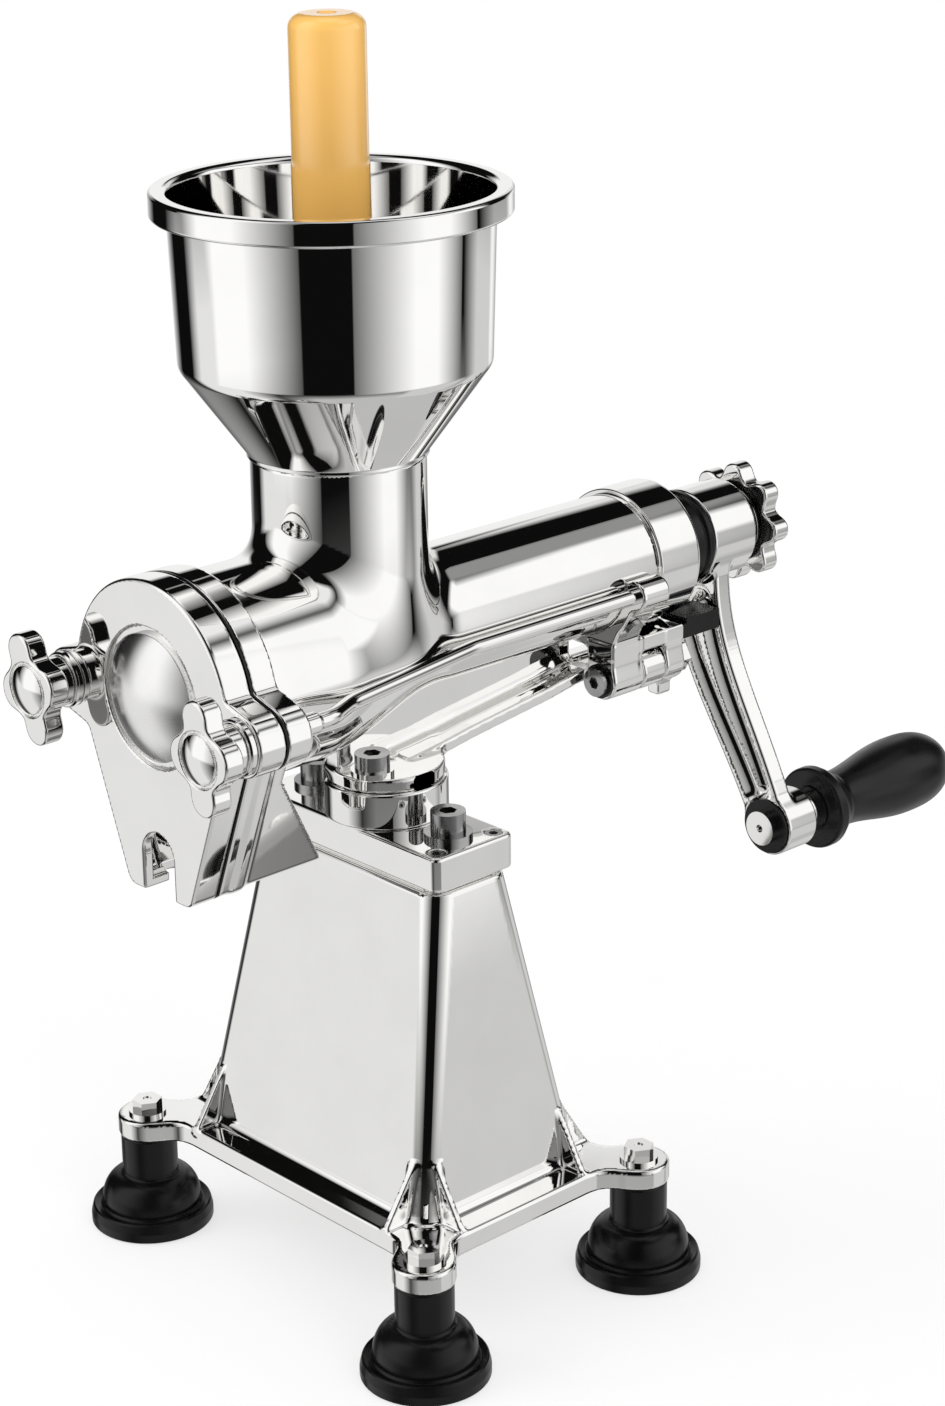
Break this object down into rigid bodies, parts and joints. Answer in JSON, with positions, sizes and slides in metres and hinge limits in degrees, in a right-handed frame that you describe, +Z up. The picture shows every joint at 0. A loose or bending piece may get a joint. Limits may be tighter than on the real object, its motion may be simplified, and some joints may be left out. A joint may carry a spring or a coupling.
{
  "type": "hand crank meat grinder",
  "caption": "Polished hand crank meat grinder: horizontal barrel with a deep round hopper, a closed front cover with a downward outlet, a side crank, and a pyramid stand on suction feet.",
  "frame": {"origin": "On the table, under the centre of the machine's outer box.", "axes": "+Z is up along the hopper. The front cover faces -Y and the crank is at +Y, so the barrel and the crank's shaft lie along Y. +X is the side to which the crank's arm leans at rest."},
  "size_m": [0.209, 0.3944, 0.4745],
  "materials": {
    "polished_casting": "mirror-polished cast metal",
    "polished_sheet": "mirror-polished spun sheet",
    "polished_steel": "polished turned steel",
    "screw_steel": "dark satin steel",
    "cutting_steel": "ground steel",
    "bronze": "turned bearing bronze",
    "black_rubber": "satin black rubber",
    "black_plastic": "satin black moulded plastic",
    "cream_plastic": "glossy cream-orange moulded plastic"
  },
  "bodies": {
    "frame": {"pedestal": "polished_casting", "top_plate": "polished_casting", "plate_screws": "screw_steel", "plate_cap_screws": "screw_steel", "plate_cap_washers": "screw_steel", "foot_bolts": "polished_steel", "foot_washers": "polished_steel", "foot_inserts": "screw_steel", "foot_front_left": "black_rubber", "foot_front_right": "black_rubber", "foot_rear_left": "black_rubber", "foot_rear_right": "black_rubber", "turret": "polished_casting", "support_arm": "polished_casting", "arm_screw": "screw_steel", "arm_screw_washer": "polished_steel", "rear_bracket": "polished_casting", "bracket_screws": "screw_steel", "pivot_bolt": "screw_steel", "pivot_washer": "black_rubber", "pivot_nut": "polished_steel", "crank_buffer": "black_rubber", "barrel": "polished_casting", "rear_collar": "polished_casting", "rear_bush": "bronze", "shaft_seal": "black_rubber", "hopper": "polished_sheet", "front_cover": "polished_casting", "cover_gasket": "black_rubber", "dome_cap": "polished_sheet", "front_bush": "bronze", "perforated_plate": "cutting_steel", "plate_key": "cutting_steel", "tie_rod_left": "polished_steel", "tie_rod_right": "polished_steel", "thrust_washer": "bronze"},
    "crank": {"auger": "cutting_steel", "front_pin": "cutting_steel", "knife": "cutting_steel", "drive_shaft": "cutting_steel", "crank_arm": "polished_casting", "crank_key": "cutting_steel", "grip_bolt": "polished_steel", "grip_washer": "black_rubber", "grip_ferrule": "polished_steel"},
    "star_travel": {"star_washer": "black_rubber"},
    "star": {"star_knob": "polished_casting"},
    "grip": {"grip": "black_plastic"},
    "pusher": {"pusher": "cream_plastic"},
    "left_travel": {"left_collar": "polished_steel"},
    "left": {"left_knob": "polished_casting"},
    "right_travel": {"right_collar": "polished_steel"},
    "right": {"right_knob": "polished_casting"}
  },
  "joints": [
    {"name": "crank_turn", "type": "hinge", "parent": "frame", "child": "crank", "pos_m": [0, 0.11225, 0.2515], "axis": [0, -1, 0], "continuous": true},
    {"name": "grip_spin", "type": "hinge", "parent": "crank", "child": "grip", "pos_m": [0.04573, 0.11765, 0.14055], "axis": [0, 1, 0], "continuous": true},
    {"name": "star_slide", "type": "slide", "parent": "crank", "child": "star_travel", "axis": [0, 1, 0], "range_m": [0, 0.006]},
    {"name": "star_turn", "type": "hinge", "parent": "star_travel", "child": "star", "pos_m": [0, 0.11625, 0.2515], "axis": [0, 1, 0], "range_deg": [0, 1450]},
    {"name": "left_slide", "type": "slide", "parent": "frame", "child": "left_travel", "axis": [0, -1, 0], "range_m": [0, 0.005]},
    {"name": "left_turn", "type": "hinge", "parent": "left_travel", "child": "left", "pos_m": [-0.048, -0.19315, 0.2465], "axis": [0, -1, 0], "range_deg": [0, 1450]},
    {"name": "right_slide", "type": "slide", "parent": "frame", "child": "right_travel", "axis": [0, -1, 0], "range_m": [0, 0.005]},
    {"name": "right_turn", "type": "hinge", "parent": "right_travel", "child": "right", "pos_m": [0.048, -0.19315, 0.2465], "axis": [0, -1, 0], "range_deg": [0, 1450]},
    {"name": "pusher_lift", "type": "slide", "parent": "frame", "child": "pusher", "axis": [0, 0, 1], "range_m": [0, 0.2]}
  ],
  "couplings": [
    {"joint": "star_turn", "follows": "star_slide", "rad_per_m": 4188.8},
    {"joint": "left_turn", "follows": "left_slide", "rad_per_m": 5026.5},
    {"joint": "right_turn", "follows": "right_slide", "rad_per_m": 5026.5}
  ]
}
